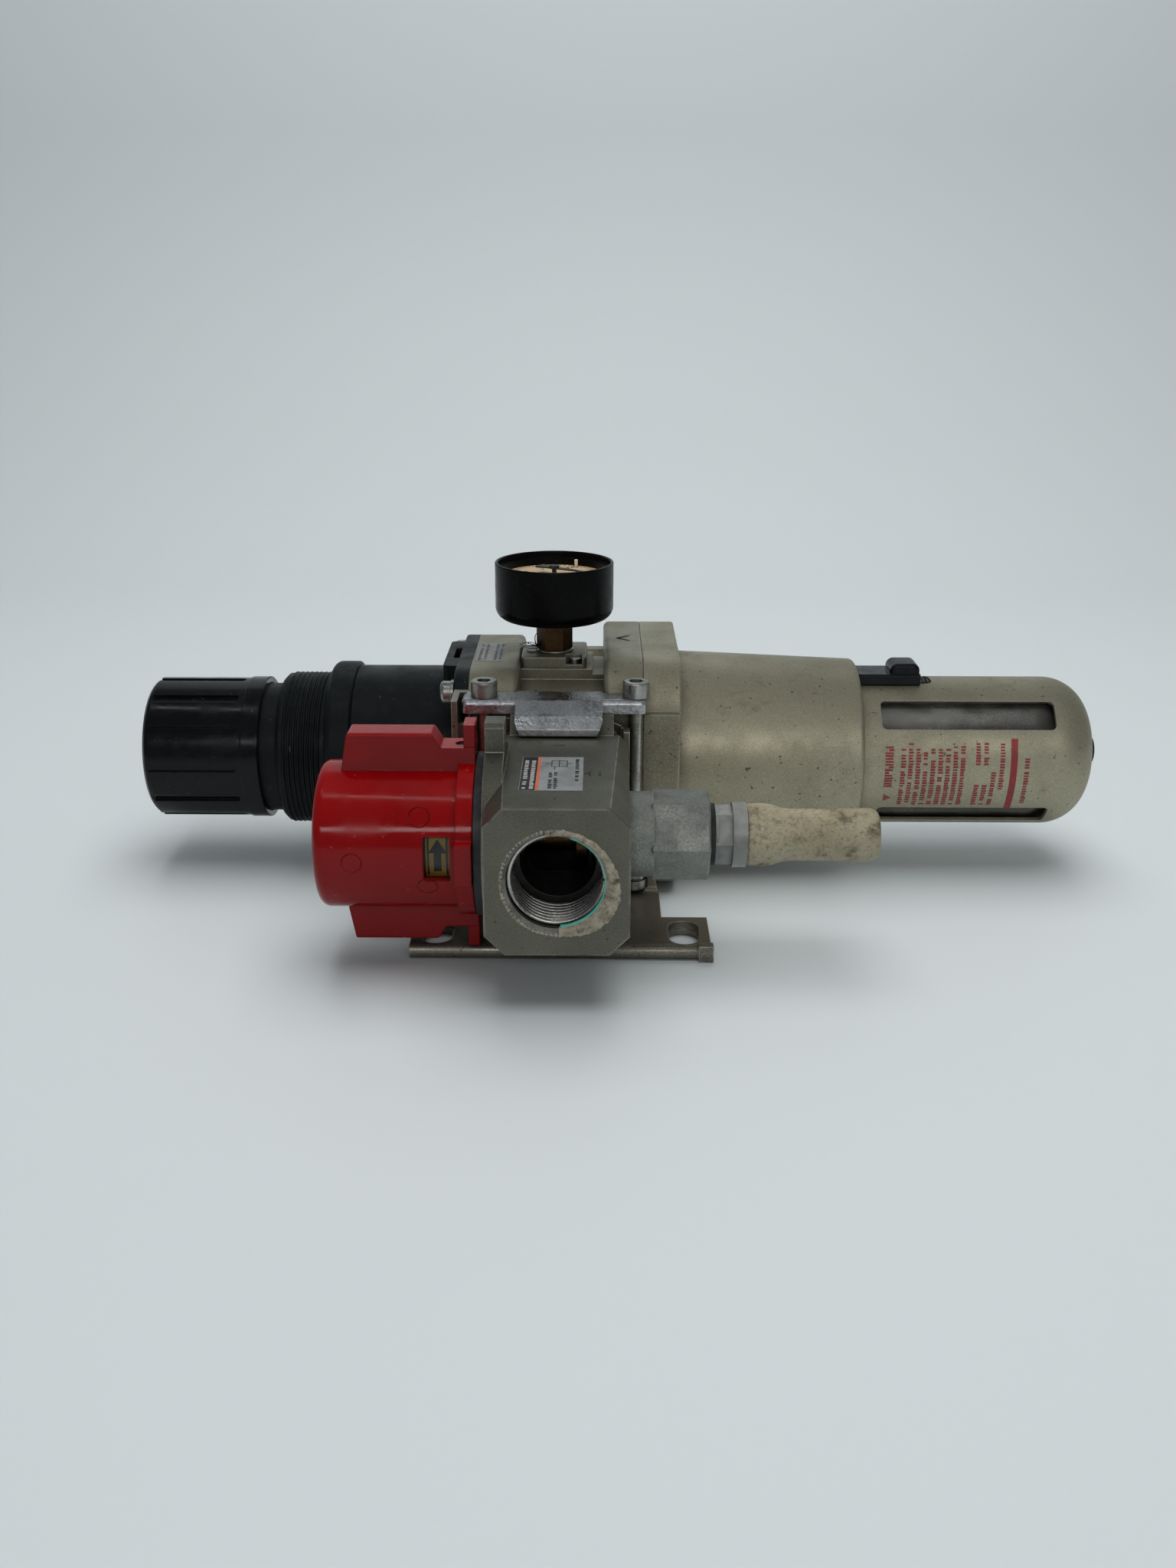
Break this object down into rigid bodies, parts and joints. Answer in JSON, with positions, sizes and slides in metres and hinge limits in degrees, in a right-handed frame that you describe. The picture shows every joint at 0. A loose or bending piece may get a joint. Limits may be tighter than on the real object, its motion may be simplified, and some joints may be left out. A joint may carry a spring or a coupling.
{
  "type": "air pressure regulator",
  "caption": "Filter-regulator with knob, bowl and gauge, joined by a clamp and bracket to a red-handled relief valve with a silencer.",
  "frame": {"origin": "on the bracket's mounting face, midway between its two slots", "axes": "+Z away from the mounting face, through the gauge; +Y along the port line from the relief valve to the filter-regulator; +X from the adjusting knob to the bowl"},
  "size_m": [0.3865, 0.191, 0.126],
  "materials": {
    "champagne_paint": "satin metallic paint on die casting, worn",
    "bracket_paint": "satin metallic paint on pressed steel",
    "black_gloss_plastic": "glossy black moulding",
    "black_matte_plastic": "matte black moulding",
    "black_satin_paint": "satin blue-black paint",
    "black_satin_plastic": "satin blue-black moulding",
    "dial_tan": "matte printed dial",
    "pointer_black": "matte black",
    "cream_plastic": "matte",
    "brass": "dull turned brass",
    "zinc_steel": "bright zinc plate",
    "zinc_dark": "dark, dirty",
    "zinc_casting": "bright cast zinc",
    "spring_steel": "plated spring wire",
    "raw_aluminium": "blasted casting, unpainted",
    "rubber_black": "matte nitrile rubber",
    "clear_bowl": "clear polycarbonate",
    "cream_porous": "sintered, porous",
    "red_gloss_plastic": "glossy red moulding",
    "grey_plastic": "satin grey moulding"
  },
  "bodies": {
    "frame": {"regulator_body": "champagne_paint", "gauge_adapter": "champagne_paint", "adapter_screws": "zinc_steel", "bonnet": "black_satin_plastic", "bonnet_screws": "zinc_steel", "housing_screws": "zinc_steel", "panel_ring_nut": "black_gloss_plastic", "valve_seat": "brass", "poppet_guide": "black_matte_plastic", "main_spring": "spring_steel", "poppet_spring": "spring_steel", "diaphragm": "rubber_black", "bowl_housing": "champagne_paint", "air_deflector": "black_matte_plastic", "filter_element": "cream_porous", "element_retainer": "black_matte_plastic", "gauge_stem": "brass", "gauge_case": "black_satin_paint", "gauge_dial": "dial_tan", "stop_pin": "cream_plastic", "bourdon_tube": "brass", "relief_valve_body": "champagne_paint", "label_drum": "black_matte_plastic", "exhaust_gland": "raw_aluminium", "gland_seal": "rubber_black", "silencer_collar": "grey_plastic", "silencer_core": "cream_porous", "clamp_bar_upper": "zinc_casting", "clamp_bar_lower": "zinc_casting", "clamp_screws": "zinc_steel", "spacer_ring": "champagne_paint", "joint_seals": "rubber_black", "bracket": "bracket_paint", "bracket_rivets": "bracket_paint"},
    "spindle": {"adjusting_screw": "zinc_steel"},
    "knob": {"adjust_knob": "black_gloss_plastic"},
    "nut": {"spring_nut": "brass"},
    "valve_stem_set": {"spring_plate": "zinc_steel", "valve_stem": "raw_aluminium", "poppet": "rubber_black"},
    "pointer": {"gauge_pointer": "pointer_black"},
    "handle": {"valve_handle": "red_gloss_plastic", "cam_shaft": "black_matte_plastic", "handle_screw": "zinc_dark"},
    "spool_set": {"spool": "raw_aluminium", "spool_seals": "rubber_black"},
    "bowl_unit": {"bowl": "clear_bowl", "bowl_seal": "rubber_black", "bowl_guard": "champagne_paint", "drain_fitting": "black_matte_plastic", "latch_spring": "spring_steel"},
    "latch": {"latch_button": "black_gloss_plastic"}
  },
  "joints": [
    {"name": "knob_turn", "type": "hinge", "parent": "frame", "child": "spindle", "pos_m": [-0.12, 0.09, 0.048], "axis": [1, 0, 0], "range_deg": [0, 1800]},
    {"name": "knob_lock", "type": "slide", "parent": "spindle", "child": "knob", "axis": [1, 0, 0], "range_m": [0, 0.004]},
    {"name": "nut_travel", "type": "slide", "parent": "frame", "child": "nut", "axis": [1, 0, 0], "range_m": [0, 0.01], "deforming": ["main_spring"]},
    {"name": "stem_travel", "type": "slide", "parent": "frame", "child": "valve_stem_set", "axis": [1, 0, 0], "range_m": [0, 0.0015], "stiffness_N_per_m": 2000, "deforming": ["diaphragm", "poppet_spring"]},
    {"name": "pointer_turn", "type": "hinge", "parent": "frame", "child": "pointer", "pos_m": [-0.0044, 0.09, 0.125], "axis": [0, 0, 1], "range_deg": [-191, 79]},
    {"name": "handle_turn", "type": "hinge", "parent": "frame", "child": "handle", "pos_m": [-0.05, -0.0085, 0.048], "axis": [1, 0, 0], "range_deg": [0, 90]},
    {"name": "spool_travel", "type": "slide", "parent": "frame", "child": "spool_set", "axis": [1, 0, 0], "range_m": [0, 0.006]},
    {"name": "bowl_turn", "type": "hinge", "parent": "frame", "child": "bowl_unit", "pos_m": [0.1, 0.09, 0.048], "axis": [1, 0, 0], "range_deg": [0, 45]},
    {"name": "latch_slide", "type": "slide", "parent": "bowl_unit", "child": "latch", "axis": [1, 0, 0], "range_m": [0, 0.005], "stiffness_N_per_m": 300, "deforming": ["latch_spring"]}
  ],
  "couplings": [
    {"joint": "nut_travel", "follows": "knob_turn", "m_per_rad": 0.00031831},
    {"joint": "spool_travel", "follows": "handle_turn", "m_per_rad": 0.0037561}
  ]
}
